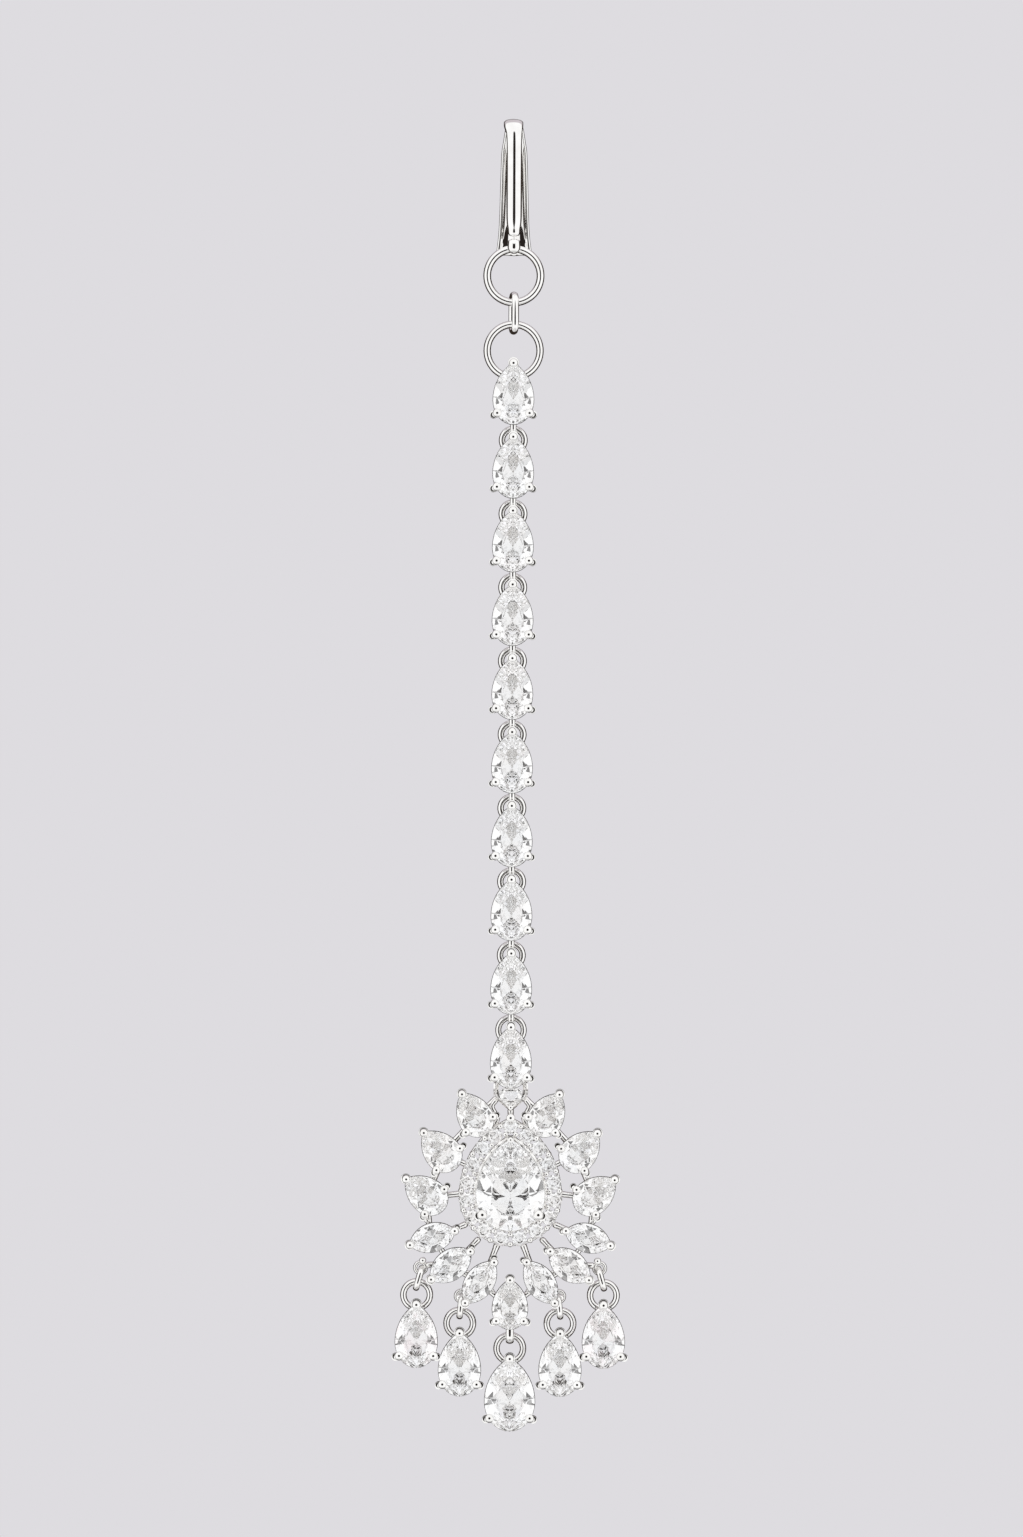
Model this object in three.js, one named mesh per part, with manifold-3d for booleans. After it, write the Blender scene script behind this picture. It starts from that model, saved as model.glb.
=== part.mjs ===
// A maang tikka: a hair hook with its ring, a chain of claw-set pear stones and a forehead
// pendant with a pear centre, a halo, thirteen petal stones and five drops.
// Millimetres, +Z up, +X to the viewer's right, seen from -Y. The origin is the inside of
// the hook's bend, which the jewel hangs from.
import * as THREE from "three";
import { ConvexGeometry } from "three/addons/geometries/ConvexGeometry.js";
import { mergeVertices } from "three/addons/utils/BufferGeometryUtils.js";
import Module from "manifold-3d";

const wasm = await Module();
wasm.setup();

// Driving dimensions of the chain
const RING_PLANE = 1.0; // how far behind the hook's bend the rings and rails hang
const CHAIN_TOP = -27.3; // height of the first pear's belly
const PITCH = 7.37; // from one pear to the next
const CHAIN_COUNT = 9;
const CHAIN_STONE = { width: 4.05, tip: 3.7, base: 2.45 };
const CHAIN_RING = { up: 3.4, radius: 1.15, wire: 0.25 };
const FIRST_RING = { up: 5.0, radius: 2.65, wire: 0.3 };
const RING_GAP = 0.15; // play between a ring and the eye that it hangs in
const EYE = { halfWidth: 0.35, halfThick: 0.22, halfHole: 0.4 };

// Stone proportions, as shares of the stone's width, and the clearance of its point
const CULET = -0.12;
const PAVILION = 0.36;
const GIRDLE = 0.035;
const CROWN = 0.135;
const TABLE = 0.58;

// Settings: the rail under the stone and the claws that hold it
const RAIL = { share: 0.62, wall: 0.4, front: -0.35, back: 0 };
const CLAW = { shank: 0.2, head: 0.4, clearance: 0.15, lift: 0.24, inset: 0.05 };
const CHAIN_CLAW_TURNS = [0, 129, -129];
const WIRE_SIDES = 5;
const RING_STEPS = 10;

// The hook: one strip from the tongue's tip, over the bend and down the plate to its ring
const BEND = { z: -0.65, radius: 1.05 };
const HOOK_RING = { z: -14.79, radius: 2.675, wire: 0.325 };
const TONGUE_BALL = { z: -12.15, radius: 0.6 };
const TONGUE = [
  { z: -11.75, wide: 1.0, thick: 0.55 },
  { z: -10.75, wide: 1.2, thick: 0.65 },
  { z: -9.9, wide: 1.6, thick: 0.75 },
  { z: -1.2, wide: 1.65, thick: 0.8 },
];
const PLATE = [
  { z: -0.9, wide: 2.7, thick: 0.75 },
  { z: -1.5, wide: 3.0, thick: 0.7 },
  { z: -9.4, wide: 3.5, thick: 0.7 },
  { z: -10.9, wide: 3.75, thick: 0.7 },
  { z: -12.4, wide: 4.2, thick: 0.65 },
];
const JUMP_LINK = { top: -16.48, bottom: -20.6, halfHole: 0.52, wire: 0.25 };

// The pendant, measured from the belly of its centre stone
const PENDANT_Z = -106.8;
const CENTRE_STONE = { width: 6.77, tip: 5.68, base: 3.44 };
const CENTRE_RAIL_SHARE = 0.78;
const CENTRE_CLAW_TURNS = [0, 124, -124];
const HALO_LINE = { width: 8.85, tip: 6.9, base: 4.4 };
const HALO = { count: 17, stone: 0.7, girdle: -1.5, culet: -0.95, table: -1.75 };
const HALO_SEAT = { outer: 0.65, inner: 0.5, front: -0.82, back: -0.1 };
const HALO_BALL = { z: 7.75, y: -1.95, radius: 0.4, postZ: 7.95, post: 0.22 };
const BEZEL = { z: 10.2, width: 3.4, tip: 1.95, base: 1.25, wall: 0.42, front: -0.95 };
const BEZEL_STONE = { width: 2.3, tip: 1.2, base: 0.65 };
const PENDANT_RING = { up: 3.275, radius: 1.275, wire: 0.275 };

// Petal stones of the right half: where the outward tip is and how far it is turned from
// straight up. A pointed base makes a marquise.
const PETALS = [
  { tipX: 4.9, tipZ: 10.14, turn: 30, width: 3.45, tip: 2.9, base: 1.85 },
  { tipX: 8.71, tipZ: 6.26, turn: 43, width: 3.55, tip: 3.0, base: 1.85 },
  { tipX: 10.46, tipZ: 1.61, turn: 52, width: 3.5, tip: 3.0, base: 1.9 },
  { tipX: 10.07, tipZ: -5.03, turn: 108, width: 2.85, tip: 2.4, base: 2.4, pointed: true },
  { tipX: 7.94, tipZ: -8.48, turn: 126, width: 3.0, tip: 2.47, base: 2.47, pointed: true },
  { tipX: 4.52, tipZ: -10.83, turn: 145, width: 2.85, tip: 2.55, base: 2.55, pointed: true },
];
const FOOT_PETAL = { tipX: 0, tipZ: -8.4, turn: 0, width: 3.53, tip: 3.0, base: 2.0 };
const PEAR_CLAW_TURNS = [0, 112, -112];
const MARQUISE_CLAW_TURNS = [0, 180];

// Bars of the openwork's right half, from one end to the other
const BARS = [
  { fromX: 1.3, fromZ: 9.75, toX: 2.85, toZ: 8.3 },
  { fromX: 2.6, fromZ: 7.3, toX: 0.95, toZ: 6.75 },
  { fromX: 2.95, fromZ: 6.75, toX: 2.05, toZ: 5.4 },
  { fromX: 4.2, fromZ: 6.9, toX: 5.95, toZ: 5.0 },
  { fromX: 5.8, fromZ: 3.6, toX: 3.95, toZ: 2.75 },
  { fromX: 6.95, fromZ: 3.1, toX: 7.95, toZ: 0.8 },
  { fromX: 7.2, fromZ: -0.2, toX: 4.7, toZ: 0.1 },
  { fromX: 8.25, fromZ: -1.3, toX: 8.05, toZ: -3.6 },
  { fromX: 6.6, fromZ: -3.9, toX: 4.2, toZ: -2.9 },
  { fromX: 7.3, fromZ: -4.9, toX: 6.3, toZ: -6.5 },
  { fromX: 4.9, fromZ: -6.3, toX: 3.0, toZ: -4.3 },
  { fromX: 5.3, fromZ: -7.5, toX: 3.55, toZ: -8.6 },
  { fromX: 2.35, fromZ: -7.8, toX: 1.25, toZ: -4.9 },
  { fromX: 2.65, fromZ: -9.2, toX: 0.85, toZ: -10.6 },
];
const BAR = { halfWidth: 0.32, halfThick: 0.22, y: -0.18 };

// Drops of the right half and the middle: stone, ring, and the frame's eye for the outer ones
const DROP_RING = { radius: 1.33, wire: 0.3, above: 0.77 };
const DROP_EYE = { radius: 0.55, wire: 0.2 };
const DROP_LINK = { wire: 0.2, halfHole: 0.4, play: 0.14 };
const DROP_STONE = { width: 4.2, tip: 3.8, base: 2.55 };
const MIDDLE_DROP_STONE = { width: 5.0, tip: 4.35, base: 2.95 };
const DROPS = [
  { name: "outer", x: 9.35, z: -14.67, stubX: 6.75, stubZ: -6.95 },
  { name: "inner", x: 5.02, z: -17.5, stubX: 3.75, stubZ: -9.9 },
];
const MIDDLE_DROP_Z = -20.55;

const metal = new THREE.MeshStandardMaterial({ color: 0xd8d8da, roughness: 0.12, metalness: 1 });
const crystal = new THREE.MeshStandardMaterial({ color: 0xf3f5f9, roughness: 0.03, metalness: 0 });

const ACROSS_X = new THREE.Vector3(1, 0, 0);
const ACROSS_Y = new THREE.Vector3(0, 1, 0);
const point = (x, y, z) => new THREE.Vector3(x, y, z);
const radians = THREE.MathUtils.degToRad;

// The outline of a pear, or of a marquise with a pointed base, about its belly: a list of
// { x, z } that starts at the tip and runs down the right side.
function outline({ width, tip, base, pointed = false }, sideSteps = 3, baseSteps = 4) {
  const half = width / 2;
  const side = (height, t) => {
    const radius = (height * height + half * half) / width;
    const turn = Math.asin(height / radius) * t;
    return { x: radius * Math.cos(turn) - (radius - half), z: radius * Math.sin(turn) };
  };
  const right = [];
  for (let i = 0; i <= sideSteps; i++) right.push(side(tip, 1 - i / sideSteps));
  for (let i = 1; i <= baseSteps / 2; i++) {
    const share = (2 * i) / baseSteps;
    if (pointed) {
      const low = side(base, share);
      right.push({ x: low.x, z: -low.z });
    } else {
      const turn = (share * Math.PI) / 2;
      right.push({ x: half * Math.cos(turn), z: -base * Math.sin(turn) });
    }
  }
  const left = right.slice(1, -1).reverse();
  return [...right, ...left.map(({ x, z }) => ({ x: -x, z }))];
}

// The same outline moved outwards by a distance, or inwards by a negative one.
const grown = (shape, by) => ({
  ...shape,
  width: shape.width + 2 * by,
  tip: shape.tip + 1.15 * by,
  base: shape.base + (shape.pointed ? 1.15 : 1) * by,
});

const shrunk = (shape, share) => ({
  ...shape,
  width: shape.width * share,
  tip: shape.tip * share,
  base: shape.base * share,
});

// How deep each level of a cut stone of this width lies; the front is at -Y.
function depths(width) {
  const low = CULET - PAVILION * width;
  const high = low - GIRDLE * width;
  return { culet: CULET, low, high, table: high - CROWN * width };
}

// A cut stone: a flat table, a ring of crown facets, a girdle and a pointed pavilion.
function stone(shape, level = depths(shape.width)) {
  const around = outline(shape);
  const ring = (share, y) => around.map(({ x, z }) => point(x * share, y, z * share));
  return new ConvexGeometry([
    point(0, level.culet, 0),
    ...ring(1, level.low),
    ...ring(1, level.high),
    ...ring(TABLE, level.table),
  ]);
}

// A flat ring between two outlines, from one depth to another.
function band(outer, inner, front, back, sideSteps = 3, baseSteps = 4) {
  const flat = (shape) =>
    outline(shape, sideSteps, baseSteps).map(({ x, z }) => new THREE.Vector2(x, z));
  const shape = new THREE.Shape(flat(outer));
  shape.holes.push(new THREE.Path(flat(inner).reverse()));
  const plate = new THREE.ExtrudeGeometry(shape, { depth: back - front, bevelEnabled: false });
  return plate.rotateX(Math.PI / 2).translate(0, back, 0);
}

// A strip or wire through stations, each with its centre and its half sizes along "across"
// and square to it. A closed one joins its ends, an open one is capped.
function strip(stations, across, { sides = WIRE_SIDES, closed = false, flat = false } = {}) {
  const count = stations.length;
  const section = [];
  for (let k = 0; k < sides; k++) {
    const turn = (2 * Math.PI * (k + 0.5)) / sides;
    section.push([Math.cos(turn), Math.sin(turn)]);
  }
  const corners = [
    [1, 0.45], [0.72, 1], [-0.72, 1], [-1, 0.45], [-1, -0.45], [-0.72, -1], [0.72, -1], [1, -0.45],
  ];
  const profile = flat ? corners : section;
  const vertices = [];
  stations.forEach(({ at, wide, thick }, i) => {
    const before = stations[closed ? (i + count - 1) % count : Math.max(i - 1, 0)].at;
    const after = stations[closed ? (i + 1) % count : Math.min(i + 1, count - 1)].at;
    const along = after.clone().sub(before).normalize();
    const square = along.clone().cross(across).normalize();
    for (const [a, b] of profile) {
      const v = at.clone().addScaledVector(across, a * wide).addScaledVector(square, b * thick);
      vertices.push(v.x, v.y, v.z);
    }
  });
  const n = profile.length;
  const faces = [];
  for (let i = 0; i < (closed ? count : count - 1); i++) {
    const low = i * n;
    const high = ((i + 1) % count) * n;
    for (let k = 0; k < n; k++) {
      const next = (k + 1) % n;
      faces.push(low + k, low + next, high + next, low + k, high + next, high + k);
    }
  }
  if (!closed) {
    const end = (count - 1) * n;
    for (let k = 1; k < n - 1; k++) faces.push(0, k + 1, k, end, end + k, end + k + 1);
  }
  const made = new THREE.BufferGeometry();
  made.setAttribute("position", new THREE.Float32BufferAttribute(vertices, 3));
  made.setIndex(faces);
  return made;
}

// A round wire ring that faces the viewer.
function faceRing({ radius, wire }, z, steps = RING_STEPS) {
  const ring = new THREE.TorusGeometry(radius, wire, WIRE_SIDES, steps);
  return ring.rotateX(Math.PI / 2).translate(0, 0, z);
}

// A long link or eye seen edge on, whose hole runs from one height to another.
function edgeLink(holeTop, holeBottom, halfHole, wide, thick, steps = 3) {
  const radius = halfHole + thick;
  const stations = [];
  const bow = (z, start) => {
    for (let i = 0; i <= steps; i++) {
      const turn = start + (Math.PI * i) / steps;
      const at = point(0, radius * Math.cos(turn), z + radius * Math.sin(turn));
      stations.push({ at, wide, thick });
    }
  };
  bow(holeTop - halfHole, 0);
  bow(holeBottom + halfHole, Math.PI);
  return strip(stations, ACROSS_X, { closed: true });
}

// A claw at a turn round the stone, from the rail, past the girdle to a ball on the crown.
function claw(shape, turn, level, { share = RAIL.share, size = CLAW.head, root = -0.2 } = {}) {
  const fine = outline(shape, 24, 48);
  const aim = radians(turn);
  const bearing = ({ x, z }) => Math.abs(Math.atan2(x, z) - Math.atan2(Math.sin(aim), Math.cos(aim)));
  const nearest = fine.reduce((best, p) => (bearing(p) < bearing(best) ? p : best));
  const edge = point(nearest.x, 0, nearest.z);
  const at = fine.indexOf(nearest);
  const before = fine[(at + fine.length - 1) % fine.length];
  const after = fine[(at + 1) % fine.length];
  const out = point(before.z - after.z, 0, after.x - before.x).normalize();
  const side = ACROSS_Y.clone().cross(out).normalize();
  const place = (outwards, y) => edge.clone().addScaledVector(out, outwards).setY(y);
  const beside = CLAW.clearance + CLAW.shank;
  const ballY = level.high - CLAW.lift - size * 0.75;
  const stations = [
    { at: edge.clone().multiplyScalar(share).setY(root), half: CLAW.shank },
    { at: place(beside, level.low + CLAW.shank), half: CLAW.shank },
    { at: place(beside, level.high - CLAW.shank * 0.3), half: CLAW.shank },
    { at: place(-CLAW.inset, ballY), half: size },
    { at: place(-CLAW.inset - size * 0.2, ballY - size * 0.75), half: size * 0.5 },
  ];
  const round = stations.map(({ at, half }) => ({ at, wide: half, thick: half }));
  return strip(round, side);
}

// A rail and its claws under one stone.
function seat(shape, turns, { share = RAIL.share, size = CLAW.head } = {}) {
  const level = depths(shape.width);
  const outer = shrunk(shape, share);
  const rail = band(outer, grown(outer, -RAIL.wall), RAIL.front, RAIL.back);
  return [rail, ...turns.map((turn) => claw(shape, turn, level, { share, size }))];
}

function toManifold(geometry) {
  const bare = new THREE.BufferGeometry();
  bare.setAttribute("position", geometry.getAttribute("position"));
  bare.setIndex(geometry.index);
  const merged = mergeVertices(bare, 1e-4);
  return new wasm.Manifold(
    new wasm.Mesh({
      numProp: 3,
      vertProperties: merged.attributes.position.array,
      triVerts: new Uint32Array(merged.index.array),
    }),
  );
}

// Solders pieces into one geometry.
function solder(geometries) {
  const whole = geometries.map(toManifold).reduce((a, b) => a.add(b));
  const { vertProperties, triVerts } = whole.getMesh();
  const made = new THREE.BufferGeometry();
  made.setAttribute("position", new THREE.BufferAttribute(vertProperties, 3));
  made.setIndex(new THREE.BufferAttribute(triVerts, 1));
  return made;
}

function named(name, geometry, material, parent) {
  const mesh = new THREE.Mesh(geometry, material);
  mesh.name = name;
  parent.add(mesh);
  return mesh;
}

function groupAt(x, y, z, parent) {
  const group = new THREE.Group();
  group.position.set(x, y, z);
  parent.add(group);
  return group;
}

// The hook: tongue, bend, plate and ring in one piece.
function hookGeometry() {
  const y = BEND.radius;
  const sections = (table, side) =>
    table.map(({ z, wide, thick }) => {
      return { at: point(0, side * y, z), wide: wide / 2, thick: thick / 2 };
    });
  const stations = sections(TONGUE, -1);
  const bendSteps = 5;
  const last = TONGUE[TONGUE.length - 1];
  const first = PLATE[0];
  for (let i = 0; i <= bendSteps; i++) {
    const share = i / bendSteps;
    const turn = Math.PI * (1 - share);
    const widening = Math.max(0, share * 2 - 1) ** 2;
    stations.push({
      at: point(0, y * Math.cos(turn), BEND.z + y * Math.sin(turn)),
      wide: (last.wide + (first.wide - 0.5 - last.wide) * widening) / 2,
      thick: last.thick / 2,
    });
  }
  stations.push(...sections(PLATE, 1));
  const body = strip(stations, ACROSS_X, { flat: true });
  const ball = new THREE.SphereGeometry(TONGUE_BALL.radius, 8, 5).translate(0, -y, TONGUE_BALL.z);
  return solder([body, ball, faceRing(HOOK_RING, HOOK_RING.z, 16).translate(0, y, 0)]);
}

// One link of the chain: rail, three claws, the ring at its tip and the eye at its foot.
function chainSettingGeometry(ring) {
  const wireBelow = PITCH - (CHAIN_RING.up + CHAIN_RING.radius);
  const holeBottom = -wireBelow - CHAIN_RING.wire - RING_GAP;
  const holeTop = -CHAIN_STONE.base * RAIL.share - 0.1;
  return solder([
    ...seat(CHAIN_STONE, CHAIN_CLAW_TURNS),
    faceRing(ring, ring.up, ring === FIRST_RING ? 14 : RING_STEPS),
    edgeLink(holeTop, holeBottom, EYE.halfHole, EYE.halfWidth, EYE.halfThick),
  ]);
}

// A petal's place: its belly lies back from its outward tip along its turn.
function petalPlace({ tipX, tipZ, turn, tip }, side) {
  const aim = radians(turn);
  return {
    x: side * (tipX - tip * Math.sin(aim)),
    z: tipZ - tip * Math.cos(aim),
    turn: side * aim,
  };
}

const allPetals = [
  ...[["left", -1], ["right", 1]].flatMap(([word, side]) =>
    PETALS.map((petal, i) => ({ name: `${word}_${i + 1}`, petal, side })),
  ),
  { name: "foot", petal: FOOT_PETAL, side: 1 },
];

function barGeometry({ fromX, fromZ, toX, toZ }, side) {
  const from = point(side * fromX, BAR.y, fromZ);
  const to = point(side * toX, BAR.y, toZ);
  const half = { wide: BAR.halfThick, thick: BAR.halfWidth };
  return strip([{ at: from, ...half }, { at: to, ...half }], ACROSS_Y, { sides: 4 });
}

// The height of a drop's ring above the drop's belly, and of the top of its wire's middle.
const dropRingUp = (shape) => shape.tip + DROP_RING.above;
const dropRingTop = (shape) => dropRingUp(shape) + DROP_RING.radius;

// The hole of the small link that carries an outer drop, and the eye that carries the link.
function dropLinkPlace(drop) {
  const wireTop = drop.z + dropRingTop(DROP_STONE);
  const holeBottom = wireTop - DROP_RING.wire - DROP_LINK.play;
  const holeTop = holeBottom + 1.62;
  const eyeZ = holeTop - DROP_LINK.play - DROP_EYE.wire + DROP_EYE.radius;
  return { holeBottom, holeTop, eyeZ };
}

function frameGeometry() {
  const pieces = [];
  const bailZ = CHAIN_TOP - CHAIN_COUNT * PITCH - PENDANT_Z;
  pieces.push(...seat(CHAIN_STONE, CHAIN_CLAW_TURNS).map((g) => g.translate(0, 0, bailZ)));
  pieces.push(faceRing(PENDANT_RING, bailZ + PENDANT_RING.up));
  const bezel = band(BEZEL, grown(BEZEL, -BEZEL.wall), BEZEL.front, 0).rotateY(Math.PI);
  pieces.push(bezel.translate(0, 0, BEZEL.z));

  const level = depths(CENTRE_STONE.width);
  const railShape = shrunk(CENTRE_STONE, CENTRE_RAIL_SHARE);
  pieces.push(band(railShape, grown(railShape, -RAIL.wall), RAIL.front, RAIL.back));
  CENTRE_CLAW_TURNS.forEach((turn) => {
    const size = turn === 0 ? 0.28 : 0.45;
    pieces.push(claw(CENTRE_STONE, turn, level, { share: CENTRE_RAIL_SHARE, size }));
  });
  pieces.push(band(grown(HALO_LINE, HALO_SEAT.outer), grown(HALO_LINE, -HALO_SEAT.inner),
    HALO_SEAT.front, HALO_SEAT.back, 4, 8));
  const struts = [
    { fromX: 2.3, fromZ: 0.3, toX: 4.1, toZ: 0.3 },
    { fromX: 1.6, fromZ: -2.1, toX: 2.6, toZ: -3.2 },
    { fromX: 0.6, fromZ: 12, toX: 0.7, toZ: 11.1 },
  ];
  for (const side of [1, -1]) {
    struts.forEach((strut) => pieces.push(barGeometry(strut, side)));
    BARS.forEach((bar) => pieces.push(barGeometry(bar, side)));
  }
  pieces.push(barGeometry({ fromX: 0, fromZ: 8.75, toX: 0, toZ: 6.4 }, 1));
  const ball = new THREE.SphereGeometry(HALO_BALL.radius, 6, 5);
  pieces.push(ball.translate(0, HALO_BALL.y, HALO_BALL.z));
  const half = { wide: HALO_BALL.post, thick: HALO_BALL.post };
  const post = [HALO_BALL.y, BAR.y].map((y) => ({ at: point(0, y, HALO_BALL.postZ), ...half }));
  pieces.push(strip(post, ACROSS_X));

  allPetals.forEach(({ petal, side }) => {
    const { x, z, turn } = petalPlace(petal, side);
    const turns = petal.pointed ? MARQUISE_CLAW_TURNS : PEAR_CLAW_TURNS;
    const claws = petal.tipX === 0 ? CHAIN_CLAW_TURNS : turns;
    pieces.push(...seat(petal, claws).map((g) => g.rotateY(turn).translate(x, 0, z)));
  });

  const { z } = petalPlace(FOOT_PETAL, 1);
  const wireTop = MIDDLE_DROP_Z + dropRingTop(MIDDLE_DROP_STONE);
  const holeBottom = wireTop - DROP_RING.wire - RING_GAP;
  const holeTop = z - FOOT_PETAL.base * RAIL.share - 0.1;
  pieces.push(edgeLink(holeTop, holeBottom, 0.45, EYE.halfWidth, EYE.halfThick));

  DROPS.forEach((drop) => {
    const { eyeZ } = dropLinkPlace(drop);
    for (const side of [1, -1]) {
      pieces.push(faceRing(DROP_EYE, eyeZ, 8).translate(side * drop.x, 0, 0));
      const inward = drop.x - DROP_EYE.radius * 0.9;
      const stub = { fromX: drop.stubX, fromZ: drop.stubZ, toX: inward, toZ: eyeZ + 0.25 };
      pieces.push(barGeometry(stub, side));
    }
  });
  return solder(pieces);
}

// The halo: small round cut stones in a row, joined at their girdles by a thin band.
function haloGeometry() {
  const line = outline(HALO_LINE, 40, 80).map(({ x, z }) => new THREE.Vector2(x, z));
  const path = new THREE.Path([...line, line[0]]);
  const places = path.getSpacedPoints(HALO.count).slice(0, HALO.count);
  const ring = (radius, y) =>
    Array.from({ length: 7 }, (_, k) => {
      const turn = (2 * Math.PI * k) / 7;
      return point(radius * Math.cos(turn), y, radius * Math.sin(turn));
    });
  const gem = new ConvexGeometry([
    point(0, HALO.culet, 0),
    ...ring(HALO.stone, HALO.girdle),
    ...ring(HALO.stone * TABLE, HALO.table),
  ]);
  const gems = places.map(({ x, y }) => gem.clone().translate(x, 0, y));
  const outer = grown(HALO_LINE, 0.2);
  const inner = grown(HALO_LINE, -0.2);
  const joint = band(outer, inner, HALO.girdle - 0.08, HALO.girdle + 0.12, 4, 8);
  return solder([joint, ...gems]);
}

// A drop's setting: rail, three claws, its ring and the stub that joins them.
function dropSettingGeometry(shape) {
  const ringUp = dropRingUp(shape);
  const bottom = ringUp - DROP_RING.radius;
  const stub = { fromX: 0, fromZ: shape.tip * RAIL.share - 0.15, toX: 0, toZ: bottom };
  return solder([...seat(shape, CHAIN_CLAW_TURNS), faceRing(DROP_RING, ringUp), barGeometry(stub, 1)]);
}

const tikka = new THREE.Group();
named("hook", hookGeometry(), metal, tikka);

const chain = groupAt(0, RING_PLANE, 0, tikka);
const linkWire = JUMP_LINK.wire;
const linkHoleTop = JUMP_LINK.top - 2 * linkWire;
const linkHoleBottom = JUMP_LINK.bottom + 2 * linkWire;
const jumpLink = edgeLink(linkHoleTop, linkHoleBottom, JUMP_LINK.halfHole, linkWire, linkWire);
named("jump_link", jumpLink, metal, chain);

const chainStone = stone(CHAIN_STONE);
const firstSetting = chainSettingGeometry(FIRST_RING);
const otherSetting = chainSettingGeometry(CHAIN_RING);
for (let i = 0; i < CHAIN_COUNT; i++) {
  const number = String(i + 1).padStart(2, "0");
  const link = groupAt(0, 0, CHAIN_TOP - i * PITCH, chain);
  named(`chain_setting_${number}`, i === 0 ? firstSetting : otherSetting, metal, link);
  named(`chain_stone_${number}`, chainStone, crystal, link);
}

const pendant = groupAt(0, RING_PLANE, PENDANT_Z, tikka);
named("pendant_frame", frameGeometry(), metal, pendant);
named("centre_stone", stone(CENTRE_STONE), crystal, pendant);
named("halo_stones", haloGeometry(), crystal, pendant);
const bail = groupAt(0, 0, CHAIN_TOP - CHAIN_COUNT * PITCH - PENDANT_Z, pendant);
named("bail_stone", chainStone, crystal, bail);
const heart = groupAt(0, 0, BEZEL.z, pendant);
const heartLevels = { culet: -0.42, low: -0.9, high: -0.98, table: -1.2 };
const heartStone = named("bezel_stone", stone(BEZEL_STONE, heartLevels), crystal, heart);
heartStone.rotation.y = Math.PI;

allPetals.forEach(({ name, petal, side }) => {
  const { x, z, turn } = petalPlace(petal, side);
  const gem = named(`petal_stone_${name}`, stone(petal), crystal, groupAt(x, 0, z, pendant));
  gem.rotation.y = turn;
});

const outerDropSetting = dropSettingGeometry(DROP_STONE);
const outerDropStone = stone(DROP_STONE);
DROPS.forEach((drop) => {
  const { holeTop, holeBottom } = dropLinkPlace(drop);
  const link = edgeLink(holeTop, holeBottom, DROP_LINK.halfHole, DROP_LINK.wire, DROP_LINK.wire);
  for (const [word, side] of [["left", -1], ["right", 1]]) {
    named(`drop_link_${word}_${drop.name}`, link, metal, groupAt(side * drop.x, 0, 0, pendant));
    const hanging = groupAt(side * drop.x, 0, drop.z, pendant);
    named(`drop_setting_${word}_${drop.name}`, outerDropSetting, metal, hanging);
    named(`drop_stone_${word}_${drop.name}`, outerDropStone, crystal, hanging);
  }
});
const middle = groupAt(0, 0, MIDDLE_DROP_Z, pendant);
named("drop_setting_middle", dropSettingGeometry(MIDDLE_DROP_STONE), metal, middle);
named("drop_stone_middle", stone(MIDDLE_DROP_STONE), crystal, middle);

export default tikka;
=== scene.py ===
"""A maang tikka of clear cut stones in polished white metal, hanging from its hair hook.

Each master is modelled in millimetres about its own centre, front towards -Y and tip up,
and is copied to its places in metres.
"""
import math
from collections import namedtuple

import bpy
from mathutils import Matrix, Vector


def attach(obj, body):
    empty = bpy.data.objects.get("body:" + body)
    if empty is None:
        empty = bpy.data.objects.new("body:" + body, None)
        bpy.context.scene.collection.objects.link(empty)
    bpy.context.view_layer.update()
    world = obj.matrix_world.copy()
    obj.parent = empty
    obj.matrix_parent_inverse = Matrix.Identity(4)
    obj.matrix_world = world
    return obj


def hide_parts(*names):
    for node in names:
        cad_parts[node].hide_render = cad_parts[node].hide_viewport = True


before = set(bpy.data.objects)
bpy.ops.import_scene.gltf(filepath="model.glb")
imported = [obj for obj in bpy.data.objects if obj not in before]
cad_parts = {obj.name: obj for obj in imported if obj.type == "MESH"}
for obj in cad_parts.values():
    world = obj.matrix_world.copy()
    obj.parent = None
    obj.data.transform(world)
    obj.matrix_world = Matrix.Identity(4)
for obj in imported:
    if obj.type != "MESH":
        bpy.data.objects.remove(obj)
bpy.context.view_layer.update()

MM = 0.001

# A pear, or with pointed set a marquise: its width, and its reach above and below its belly
Outline = namedtuple("Outline", "width tip base pointed", defaults=(False,))

# How deep a stone of a given width lies, as shares of the width
GIRDLE_BACK = -0.12
PAVILION = 0.36
GIRDLE = 0.035
CROWN = 0.135

# How a stone is cut: the table's share of the girdle, and how the other facets follow the mains
TABLE = 0.58
HALF_CROWN = 1.22
HALF_PAVILION = 1.07
STAR_REACH = 0.94
STAR_SLOPE = 0.6

# Settings
RAIL_SHARE = 0.62  # of the stone's outline
CENTRE_RAIL_SHARE = 0.78
RAIL_WALL = 0.4
RAIL_FRONT = -0.35
CLAW_SIZE = 0.45
CLAW_SHANK = 0.28
PETAL_CLAW_SIZE = 0.42
# Bearings of the claws, in degrees from the tip
PEAR_CLAWS = (0, 129, -129)
PETAL_CLAWS = (0, 112, -112)
POINTED_CLAWS = (0, 180)
CENTRE_CLAWS = (124, -124)

# Long links and eyes: half the hole's width, then half the wire's width and thickness
JOINING_WIRE = (0.52, 0.36, 0.3)
EYE_WIRE = (0.4, 0.31, 0.25)
DROP_LINK_WIRE = (0.4, 0.32, 0.26)
FOOT_EYE_WIRE = (0.45, 0.4, 0.22)

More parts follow.
